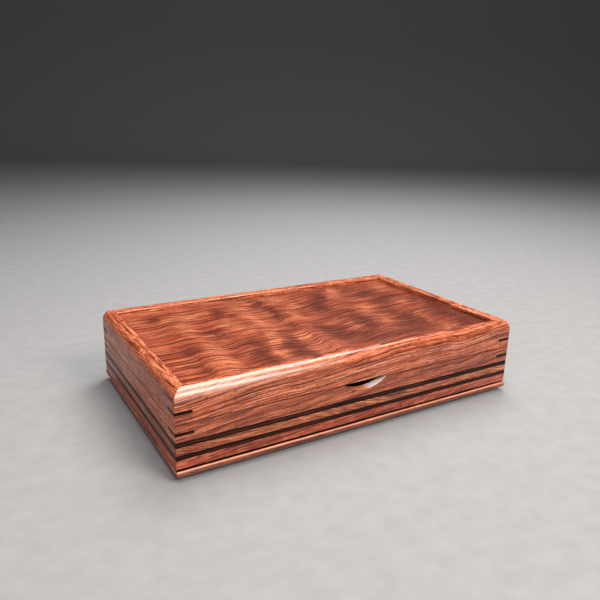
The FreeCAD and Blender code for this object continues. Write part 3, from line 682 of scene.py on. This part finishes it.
# x, y, half length, half width, slant in degrees, strength
SMOKE = [
    (-148, 74, 22, 8, 80, 0.8), (-152, 0, 10, 7, 0, 0.4), (-145, -28, 20, 9, 90, 0.65),
    (-148, -72, 28, 11, 95, 0.65), (-102, 4, 18, 13, 100, 0.8), (-77, 66, 24, 10, 70, 0.95),
    (-64, 47, 14, 8, 70, 0.5), (-80, -44, 24, 12, 80, 0.8), (-88, -82, 26, 15, 90, 1.0),
    (-44, -47, 12, 9, 80, 0.8), (-50, -78, 28, 13, 95, 1.1), (-22, 68, 16, 12, 90, 0.7),
    (-20, 90, 8, 13, 0, 0.8), (-19, 42, 20, 9, 80, 0.95), (-20, 21, 10, 8, 0, 0.9),
    (-22, -6, 14, 9, 90, 0.8), (2, -23, 15, 10, 70, 0.7), (9, -48, 20, 16, 70, 1.1),
    (10, 34, 16, 8, 10, 0.3), (42, 50, 23, 14, 40, 1.0), (61, 73, 18, 14, 60, 0.8),
    (37, 24, 18, 12, 60, 0.9), (57, 10, 18, 12, 0, 0.7), (52, -12, 14, 10, 0, 0.65),
    (58, -35, 23, 13, 75, 1.1), (109, -44, 22, 15, 80, 1.1), (36, -59, 16, 10, 0, 0.7),
    (32, -78, 34, 18, 0, 0.8), (88, -78, 34, 17, 5, 0.9), (84, -55, 14, 10, 0, 0.7),
    (118, 56, 33, 13, 10, 1.0), (132, 33, 30, 10, 10, 0.9), (122, 16, 19, 10, 10, 0.9),
    (112, -3, 16, 7, 20, 0.7), (104, -18, 16, 7, 20, 0.6), (163, 13, 14, 11, 0, 0.9),
    (159, -36, 28, 13, 80, 0.9), (163, -70, 34, 13, 80, 1.2), (146, -82, 14, 11, 0, 0.6),
    # The two patches at x 179 are painted shade, the right rail's shadow along the panel's edge.
    (179, -45, 64, 13, 90, 2.2), (179, 45, 52, 8, 90, 1.2), (30, 99, 74, 9, 0, 1.0),
    (118, 97, 42, 11, 0, 0.9),
]
GLEAM = [
    (-108, 70, 22, 14, 90, 0.7), (-126, 30, 30, 11, 90, 0.75), (-125, -74, 22, 12, 85, 0.9),
    (-122, -34, 24, 12, 90, 0.95), (-164, 26, 15, 12, 90, 0.6), (-167, 72, 20, 8, 90, 0.5),
    (-168, -15, 12, 8, 90, 0.5), (-82, 26, 14, 18, 0, 0.7), (-68, -74, 20, 9, 90, 0.85),
    (-58, -32, 22, 9, 75, 1.05), (-60, 5, 24, 12, 20, 0.7), (-48, 36, 27, 9, 90, 0.85),
    (-45, -8, 14, 10, 90, 0.5), (-45, 75, 19, 12, 30, 0.95), (-28, -40, 18, 9, 90, 0.8),
    (-18, -80, 24, 13, 0, 0.6), (5, 80, 16, 13, 0, 0.7), (12, 53, 14, 10, 60, 0.7),
    (-2, 22, 20, 9, 90, 0.85), (38, -33, 12, 6, 85, 0.7), (80, -30, 24, 8, 85, 0.6),
    (86, 76, 28, 13, 60, 0.85), (85, 8, 22, 14, 30, 0.75), (156, 74, 20, 15, 60, 0.7),
    (142, 6, 13, 10, 0, 0.55), (128, -52, 26, 9, 82, 0.4), (128, -89, 15, 8, 0, 0.8),
]
print(len(SMOKE), "dark and", len(GLEAM), "bright patches")

# %% Soft, ragged patches
SOFT_EDGE = 1.4
ENDLESS = 1000.0
FULL = 0.9
# size and reach of each push, in mm
FRAY = ((26.0, 9.0), (5.0, 4.0))


def frayed(tree, space):
    """The panel's flat coordinates, pushed about so that soft edges turn ragged."""
    pushed = space
    for size, reach in FRAY:
        noise = add(tree, "TexNoise", {"Vector": space, "Scale": 1 / size, "Detail": 1.0})
        feeds = {0: noise.outputs["Color"], 1: (2 * reach,) * 3, 2: (-reach,) * 3}
        push = add(tree, "VectorMath", feeds, operation="MULTIPLY_ADD")
        pushed = add(tree, "VectorMath", {0: pushed, 1: push}, operation="ADD")
    return add(tree, "VectorMath", {0: pushed, 1: (1.0, 1.0, 0.0)}, operation="MULTIPLY")


def patches(tree, space, places):
    """Soft ellipses, added up where they meet."""
    total = None
    for x, y, length, width, slant, strength in places:
        spot = add(tree, "Mapping", {
            "Vector": space,
            "Location": (x, y, 0.0),
            "Rotation": (0.0, 0.0, math.radians(slant)),
            "Scale": (length * SOFT_EDGE, width * SOFT_EDGE, ENDLESS),
        }, vector_type="TEXTURE")
        soft = add(tree, "TexGradient", {"Vector": spot}, gradient_type="SPHERICAL")
        feeds = {0: soft.outputs["Fac"], 1: strength, 2: total or 0.0}
        total = add(tree, "Math", feeds, operation="MULTIPLY_ADD")
    feeds = {"Value": total, "From Max": FULL}
    return add(tree, "MapRange", feeds, interpolation_type="SMOOTHSTEP")


print("edges fray by up to", sum(reach for _, reach in FRAY), "mm")

# %% Figured panel
# mm along, across, and swing
PANEL_WAVERS = ((50.0, 44.0, 2.0), (14.0, 9.0, 0.3))
# Painted shade: darker towards the right, most along the right edge, under the right rail.
PANEL_SHADE = [(-180, 0.0), (-60, 0.0), (60, 0.12), (158, 0.2), (170, 0.42), (180, 0.5)]


def waterfall_bubinga(name):
    """Flat sawn bubinga with waterfall figure: scalloped veins, smoke and gleams."""
    material, tree = new_material(name)
    place = add(tree, "TexCoord", {}).outputs["Object"]
    space = add(tree, "VectorMath", {0: place, 1: (1 / MM, 1 / MM, 0.0)}, operation="MULTIPLY")
    along, across, _ = add(tree, "SeparateXYZ", {"Vector": space}).outputs
    crests = curve_over(tree, along, SCALLOPS)
    layer = add(tree, "Math", {0: across, 1: crests}, operation="SUBTRACT")
    for length, width, size in PANEL_WAVERS:
        swing = waver(tree, space, length, width, size)
        layer = add(tree, "Math", {0: layer, 1: swing}, operation="ADD")
    grain = add(tree, "CombineXYZ", {"X": along, "Y": layer})
    ragged = frayed(tree, space)
    smoke = patches(tree, ragged, SMOKE)
    gleam = patches(tree, ragged, GLEAM)

    bands = streaks(tree, grain, 60.0, 5.0, 0.32, 0.68, 3.0, detail=3.0)
    tones = [(0.0, "#7E331D"), (0.45, "#A95439"), (1.0, "#CC7953")]
    colour = add(tree, "ValToRGB", {"Fac": bands}, stops=tones)
    # Painted shade towards the right edge.
    painted_shade = curve_over(tree, along, PANEL_SHADE)
    fine = streaks(tree, grain, 12.0, 0.9, 0.42, 0.60, 5.0)
    thread = streaks(tree, grain, 8.0, 1.4, 0.34, 0.58, 8.0)
    veil = add(tree, "MapRange", {"Value": thread, "To Min": 0.55, "To Max": 1.0})
    near = vein_lines(tree, layer, NEAR_VEINS)
    far = vein_lines(tree, layer, FAR_VEINS)
    patchy = streaks(tree, grain, 34.0, 3.0, 0.16, 0.36, 11.0)
    thin = streaks(tree, grain, 34.0, 1.9, 0.56, 0.60, 17.0)
    pores = streaks(tree, grain, 3.2, 0.6, 0.57, 0.66, 13.0, detail=1.0)
    showing = add(tree, "MapRange", {"Value": smoke, "To Min": 0.5, "To Max": 0.95})
    colour = tinted(
        tree, colour, ("#5C2411", painted_shade), ("#EA8E64", gleam, 0.8), ("#7A2F1A", fine, 0.65),
        ("#551F10", smoke, veil, 0.9), ("#3A0F06", near, patchy), ("#3A0F06", far, patchy),
        ("#4A1809", thin, 0.7), ("#3E1408", pores, showing),
    )
    lacquered(tree, colour, pores, fine, rough=(0.34, 0.5))
    return material


dress(waterfall_bubinga("waterfall bubinga panel"), "lid_panel")
print("the lid panel has", len(NEAR_VEINS + FAR_VEINS), "long veins")

# %% [markdown]
# ## Dark stripes and keys
# The stripes are wenge, nearly black, which is chocolate and black layers less than a
# millimetre apart. The upper stripe is a sandwich: black, a brown core that comes and
# goes along the box, and black. The keys are thin slips of the same wood, glued into
# saw cuts across each mitre, so their grain runs level round the corner on both faces.
# Wenge drinks the lacquer, so less of it stands on the surface and the gloss is weaker.

# %% Wenge
THIN = {**SATIN, "Specular IOR Level": 0.1, "Coat Weight": 0.12, "Coat Roughness": 0.25}
CORE_LEVEL = 33.5
CORE_HALF = 1.0
CORE_BLUR = 0.8
CORE_SHOWS = [
    (-200, 0.9), (-50, 0.9), (-40, 0.45), (40, 0.45), (50, 0.9), (100, 0.8), (112, 0.15), (140, 0.5),
    (165, 0.1), (200, 0.3),
]


def wenge(name, side, seed, tones, core=False):
    """Wenge: black and chocolate layers under satin lacquer, with open pores."""
    material, tree = new_material(name)
    space = board_space(tree, side)
    along, inward, up = add(tree, "SeparateXYZ", {"Vector": space}).outputs
    grain = add(tree, "CombineXYZ", {"X": along, "Y": up, "Z": inward})
    bands = streaks(tree, grain, 60.0, 1.0, 0.35, 0.65, seed)
    stops = [(0.0, "#080201"), (0.6, tones[0]), (1.0, tones[1])]
    colour = add(tree, "ValToRGB", {"Fac": bands}, stops=stops)
    if core:
        off = add(tree, "Math", {0: up, 1: CORE_LEVEL}, operation="SUBTRACT")
        away = add(tree, "Math", {0: off}, operation="ABSOLUTE")
        span = {"From Min": CORE_HALF, "From Max": CORE_HALF - CORE_BLUR}
        inside = add(tree, "MapRange", {"Value": away, **span})
        shows = curve_over(tree, along, CORE_SHOWS)
        worn = streaks(tree, grain, 18.0, 1.2, 0.30, 0.55, seed + 4)
        colour = tinted(tree, colour, ("#5A2C16", inside, shows, worn))
    pores = streaks(tree, grain, 5.0, 0.5, 0.58, 0.68, seed + 9, detail=1.0)
    colour = tinted(tree, colour, ("#0B0504", pores, 0.6))
    lacquered(tree, colour, pores, bands, rough=(0.4, 0.6), finish=THIN)
    return material


print("wenge with a core", 2 * CORE_HALF, "mm high")

# %% Wenge stripes
for number, side in enumerate(SIDES):
    upper = wenge(f"wenge {side} core stripe", side, 1.0 + number, ("#150503", "#2A0E07"), core=True)
    dress(upper, f"upper_stripe_{side}")
    lower = wenge(f"wenge {side} stripe", side, 11.0 + number, ("#2B0D07", "#481D12"))
    dress(lower, f"lower_stripe_{side}")
print("wenge on", 2 * len(SIDES), "stripes")

# %% Wenge keys
KEY_GRAIN = 30 * MM
KEY_LAYER = 0.7 * MM

material, tree = new_material("wenge corner keys")
# The layers lie level, so only the height matters across them.
place = add(tree, "TexCoord", {}).outputs["Object"]
scale = (1 / KEY_GRAIN, 1 / KEY_GRAIN, 1 / KEY_LAYER)
level = add(tree, "VectorMath", {0: place, 1: scale}, operation="MULTIPLY")
noise = add(tree, "TexNoise", {"Vector": level, "Scale": 1.0, "Detail": 2.0})
stops = [(0.35, "#0A0302"), (0.55, "#1C0704"), (0.7, "#3A1910")]
colour = add(tree, "ValToRGB", {"Fac": noise}, stops=stops)
pores = add(tree, "MapRange", {"Value": noise, "From Min": 0.58, "From Max": 0.66})
lacquered(tree, colour, pores, noise, rough=(0.4, 0.6), finish=THIN)
dress(material, "case_keys", "lid_keys")
print("keys with layers", round(KEY_LAYER / MM, 2), "mm thick")

# %% [markdown]
# ## Inside wood
# The runners, the dividers and the tray are plain bubinga, oiled and left without
# lacquer. A stick's grain runs along its length: pieces along the box use the front's
# coordinates, pieces across it the left's.

# %% Runners, dividers and tray
OILED = {"IOR": 1.47}
PLAIN = ("#CB7A58", "#AE5D42", "#84402C")
STICK_LEAN, STICK_SLOW, STICK_QUICK = 0.2, 3.0, 0.7
INSIDE = {
    "runner_front": "front", "runner_back": "front",
    "case_divider_left": "left", "case_divider_right": "left",
    "tray_wall_front": "front", "tray_wall_back": "front",
    "tray_wall_left": "left", "tray_wall_right": "left",
    "tray_long_divider": "left", "tray_cross_dividers": "front",
}


def oiled_bubinga(name, side, seed):
    """Plain bubinga, planed and oiled: open pores, soft gloss."""
    material, tree = new_material(name)
    space = board_space(tree, side)
    _, grain = layers_of(tree, space, LEVEL, STICK_LEAN, STICK_SLOW, STICK_QUICK)
    bands = streaks(tree, grain, 120.0, 6.0, 0.30, 0.70, seed, detail=3.0)
    light, middle, dark = PLAIN
    colour = add(tree, "ValToRGB", {"Fac": bands}, stops=[(0.0, dark), (0.5, middle), (1.0, light)])
    fine = streaks(tree, grain, 45.0, 1.1, 0.38, 0.66, seed + 3)
    pores = streaks(tree, grain, 6.0, 0.5, 0.58, 0.68, seed + 5, detail=1.0)
    colour = tinted(tree, colour, (dark, fine, 0.6), (PORE, pores, 0.6))
    lacquered(tree, colour, pores, fine, rough=(0.5, 0.65), finish=OILED)
    return material


for number, (name, side) in enumerate(INSIDE.items()):
    dress(oiled_bubinga("oiled bubinga " + name.replace("_", " "), side, 60.0 + number), name)
print(len(INSIDE), "inside pieces")

# %% [markdown]
# ## Black plywood
# The bottom panel and the tray's bottom are birch plywood, stained black before
# assembly. From the front only its edge shows, as the thin black line over the
# moulding. Stain takes well on the flat of the fibres and darker still on end
# grain, so the edge shows its plies, 1.2 mm each, and the face a faint long grain.

# %% Stained plywood
PLY = 1.2
GLUE_HALF = 0.1
WORN_FROM, WORN_TO = -179.0, -182.0

material, tree = new_material("black stained birch plywood")
place = add(tree, "TexCoord", {}).outputs["Object"]
space = add(tree, "VectorMath", {0: place, 1: (1 / MM,) * 3}, operation="MULTIPLY")
along, _, up = add(tree, "SeparateXYZ", {"Vector": space}).outputs
plies = add(tree, "Math", {0: up, 1: 2 * PLY}, operation="PINGPONG")
span = {"From Min": PLY - GLUE_HALF, "From Max": PLY + GLUE_HALF}
glue = add(tree, "MapRange", {"Value": plies, **span})
face_grain = streaks(tree, space, 40.0, 1.4, 0.35, 0.68, 1.0, depth=4.0)
halves = [add(tree, "Math", {0: part, 1: 0.5}, operation="MULTIPLY") for part in (glue, face_grain)]
tone = add(tree, "Math", {0: halves[0], 1: halves[1]}, operation="ADD")
stops = [(0.0, "#0D0605"), (0.6, "#1A1110"), (1.0, "#2C2220")]
colour = add(tree, "ValToRGB", {"Fac": tone}, stops=stops)
# The stain has worn thin along the left end.
span = {"From Min": WORN_FROM, "From Max": WORN_TO, "To Max": 0.45}
rubbed = add(tree, "MapRange", {"Value": along, **span})
colour = tinted(tree, colour, ("#6A2C1E", rubbed))
pores = streaks(tree, space, 8.0, 0.5, 0.60, 0.70, 3.0, detail=1.0)
lacquered(tree, colour, pores, face_grain, rough=(0.55, 0.75), finish=OILED)
dress(material, "bottom_panel", "tray_bottom")
print("plies of", PLY, "mm")

# %% [markdown]
# ## Brass hinges
# Butt hinges are made from drawn brass strip: the drawing leaves fine lines along the
# strip, and handling dulls it in patches. A metal keeps the default IOR, because its
# colour comes from the base colour. The lines are far finer than a pixel, so they are
# drawn 0.25 mm apart. The pins and the screws are turned from the same alloy.

# %% Drawn brass
LINE_LENGTH, LINE_GAP = 20 * MM, 0.25 * MM
DULL_PATCH = 6.25 * MM

material, tree = new_material("drawn brass")
place = add(tree, "TexCoord", {}).outputs["Object"]
scale = (1 / LINE_LENGTH, 1 / LINE_GAP, 1 / LINE_GAP)
strip = add(tree, "VectorMath", {0: place, 1: scale}, operation="MULTIPLY")
lines = add(tree, "TexNoise", {"Vector": strip, "Scale": 1.0, "Detail": 2.0})
dull = add(tree, "TexNoise", {"Vector": place, "Scale": 1 / DULL_PATCH, "Detail": 3.0})
stops = [(0.35, "#DDBF7F"), (0.6, "#CFAD68"), (0.75, "#A98A52")]
colour = add(tree, "ValToRGB", {"Fac": dull}, stops=stops)
span = {"From Min": 0.35, "From Max": 0.7, "To Min": 0.26, "To Max": 0.45}
gloss = add(tree, "MapRange", {"Value": dull, **span})
relief = add(tree, "Bump", {"Height": lines, "Strength": 0.25, "Distance": 0.02 * MM})
surface(tree, {"Base Color": colour, "Metallic": 1.0, "Roughness": gloss, "Normal": relief})
LEAVES = [f"hinge_{side}_leaf_{hand}" for side in ("case", "lid") for hand in ("left", "right")]
dress(material, *LEAVES, "hinge_pins", "hinge_case_screws", "hinge_lid_screws")
print("brass on", len(LEAVES), "leaves, the pins and the screws")

# %% [markdown]
# ## Rubber pads
# Moulded rubber has a fine spark-eroded texture from its mould and is matt. It picks up
# dust, which shows as a paler bloom in patches.

# %% Moulded rubber
BLOOM_PATCHES = 220.0  # to the metre, so about 4.5 mm each
MOULD_GRIT = 0.4 * MM

material, tree = new_material("moulded black rubber")
place = add(tree, "TexCoord", {}).outputs["Object"]
bloom = add(tree, "TexNoise", {"Vector": place, "Scale": BLOOM_PATCHES, "Detail": 3.0})
colour = add(tree, "ValToRGB", {"Fac": bloom}, stops=[(0.35, "#171716"), (0.7, "#2C2B29")])
mould = add(tree, "TexNoise", {"Vector": place, "Scale": 1 / MOULD_GRIT, "Detail": 1.0})
relief = add(tree, "Bump", {"Height": mould, "Strength": 0.4, "Distance": 0.05 * MM})
gloss = add(tree, "MapRange", {"Value": bloom, "To Min": 0.7, "To Max": 0.9})
surface(tree, {"Base Color": colour, "Roughness": gloss, "Normal": relief, "IOR": 1.52})
dress(material, "feet")
print("rubber grit of", round(MOULD_GRIT / MM, 2), "mm")

# %% [markdown]
# ## Suede linings
# Pig suede is the flesh side of split leather, sanded to a short nap. Fingers lay the
# nap over, so it shows in lighter and darker strokes, and a soft sheen rises towards
# the edges. The nap's tufts are finer than a pixel, so they are drawn 0.7 mm apart.

# %% Suede
STROKES = 42.0  # to the metre, so about 24 mm each
NAP = 1500.0  # tufts to the metre

suede, tree = new_material("dark brown pig suede")
place = add(tree, "TexCoord", {}).outputs["Object"]
feeds = {"Vector": place, "Scale": STROKES, "Detail": 2.0, "Distortion": 1.2}
strokes = add(tree, "TexNoise", feeds)
nap = add(tree, "TexNoise", {"Vector": place, "Scale": NAP, "Detail": 2.0})
tufts = add(tree, "Math", {0: nap, 1: 0.3}, operation="MULTIPLY")
mixed = add(tree, "Math", {0: strokes, 1: 0.7, 2: tufts}, operation="MULTIPLY_ADD")
stops = [(0.38, "#241C1A"), (0.5, "#2F2623"), (0.64, "#3E322E")]
colour = add(tree, "ValToRGB", {"Fac": mixed}, stops=stops)
relief = add(tree, "Bump", {"Height": nap, "Strength": 0.6, "Distance": 0.2 * MM})
surface(tree, {
    "Base Color": colour, "Roughness": 0.95, "Normal": relief, "IOR": 1.45,
    "Sheen Weight": 0.35, "Sheen Roughness": 0.45, "Sheen Tint": paint("#8A7468"),
})
print("suede nap", round(1000 / NAP, 2), "mm")

# %% [markdown]
# Each lining is card with a thin layer of wadding, and the suede is pulled round its
# edges. So every one is modelled as a low pad with rolled edges. A grid over its face
# has extra rows at the rim, where the height follows a quarter circle. The front one's
# top edge is cut to the arc of the thumb notch.

# %% Rim and notch of a lining
ROLL_STEPS = 4
PAD_PITCH = 7 * MM
NOTCH_MIDDLE, NOTCH_HALF, NOTCH_DEPTH = -3.0 * MM, 25.4 * MM, 9.2 * MM
NOTCH_RADIUS = (NOTCH_HALF ** 2 + NOTCH_DEPTH ** 2) / (2 * NOTCH_DEPTH)


def notched(top):
    """The height of the front lining's top edge: level, but cut by the thumb notch."""
    centre = SEAM * MM - NOTCH_DEPTH + NOTCH_RADIUS

    def edge(x):
        reach = NOTCH_RADIUS ** 2 - (x - NOTCH_MIDDLE) ** 2
        return min(top, centre - math.sqrt(reach)) if reach > 0 else top
    return edge


def stations(length, roll, extra=()):
    """Distances along a side: close together in the rolled rim, even between."""
    rim = [roll * (1 - math.cos(math.pi / 2 * k / ROLL_STEPS)) for k in range(ROLL_STEPS + 1)]
    count = max(4, round((length - 2 * roll) / PAD_PITCH))
    inner = [roll + (length - 2 * roll) * k / count for k in range(1, count)]
    return sorted({*rim, *inner, *(length - r for r in rim), *extra})


print("the notch's arc has a radius of", round(NOTCH_RADIUS / MM, 1), "mm")

# %% [markdown]
# A pad loses up to a seventh of its thickness where the wadding is pressed, near the
# rim and in slow waves. Two grids, face and flat back, are joined round the rim, so the
# pad is closed. It rides on its body and stands for the CAD's plain lining.

# %% One lining
ROLL = 0.65
PRESSED = 0.14
RIM_SHARE, WAVE_SHARE = 0.6, 0.4
CROWN_REACH = 6 * MM
WAVES = 55.0  # to the metre, so about 18 mm each
NOTCH_STEP, NOTCH_STEPS = 1.5 * MM, 18


def pad_grids(mesh, node, axis, sign, top_edge):
    """The points of a pad's face and of its flat back, column by column."""
    low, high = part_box(node)
    across, up = [i for i in range(3) if i != axis]
    thick = high[axis] - low[axis]
    roll = ROLL * thick
    width, height = high[across] - low[across], high[up] - low[up]
    extra = ()
    if top_edge:
        steps = range(-NOTCH_STEPS, NOTCH_STEPS + 1)
        extra = [width / 2 + NOTCH_MIDDLE + NOTCH_STEP * k for k in steps]
    rows = stations(height, roll)
    grids = ([], [])
    for s in stations(width, roll, extra):
        rim = top_edge(low[across] + s) - low[up] if top_edge else height
        for grid in grids:
            grid.append([])
        for t in rows:
            if t > height - roll:
                t = rim - (height - t)
            elif t > roll:
                t = roll + (t - roll) / (height - 2 * roll) * (rim - 2 * roll)
            edge = min(s, width - s, t, rim - t)
            into = max(0.0, roll - edge)
            rise = thick - roll + math.sqrt(max(0.0, roll ** 2 - into ** 2))
            crown = math.exp(-edge / CROWN_REACH)
            place = [0.0, 0.0, 0.0]
            place[across], place[up] = low[across] + s, low[up] + t
            wave = 0.5 + 0.5 * noise_3d(Vector(place) * WAVES)
            pressed = thick * PRESSED * (RIM_SHARE * crown + WAVE_SHARE * wave)
            rise -= pressed * min(1.0, edge / roll)
            for grid, lift in zip(grids, (rise, 0.0)):
                place[axis] = low[axis] + lift if sign > 0 else high[axis] - lift
                grid[-1].append(mesh.verts.new(place))
    return grids


def lining_pad(node, axis, sign, body, top_edge=None):
    """A suede pad in the place of a lining: rolled rim, slight crown, uneven face."""
    mesh = bmesh.new()
    face, back = pad_grids(mesh, node, axis, sign, top_edge)
    last_s, last_t = len(face) - 1, len(face[0]) - 1
    for i in range(last_s):
        for j in range(last_t):
            for grid in (face, back):
                mesh.faces.new((grid[i][j], grid[i + 1][j], grid[i + 1][j + 1], grid[i][j + 1]))
    rim = [(i, 0) for i in range(last_s)] + [(last_s, j) for j in range(last_t)]
    rim += [(i, last_t) for i in range(last_s, 0, -1)] + [(0, j) for j in range(last_t, 0, -1)]
    for (i, j), (k, l) in zip(rim, rim[1:] + rim[:1]):
        mesh.faces.new((face[i][j], face[k][l], back[k][l], back[i][j]))
    bmesh.ops.recalc_face_normals(mesh, faces=mesh.faces)
    for polygon in mesh.faces:
        polygon.smooth = True
    data = bpy.data.meshes.new("suede_" + node)
    mesh.to_mesh(data)
    mesh.free()
    data.materials.append(suede)
    pad = bpy.data.objects.new("suede_" + node, data)
    scene.collection.objects.link(pad)
    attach(pad, body)
    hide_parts(node)


print("wadding gives by up to", round(100 * PRESSED), "% of a lining")

# %% Seven linings
X, Y, Z = range(3)
PADS = {
    "floor_lining": (Z, 1, "case"), "lining_left": (X, 1, "case"), "lining_right": (X, -1, "case"),
    "lining_back": (Y, -1, "case"), "lid_lining": (Z, -1, "lid"), "tray_lining": (Z, 1, "tray"),
}
for node, (axis, sign, body) in PADS.items():
    lining_pad(node, axis, sign, body)
lining_pad("lining_front", Y, 1, "case", top_edge=notched(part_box("lining_front")[1].z))
print(len(PADS) + 1, "suede pads")
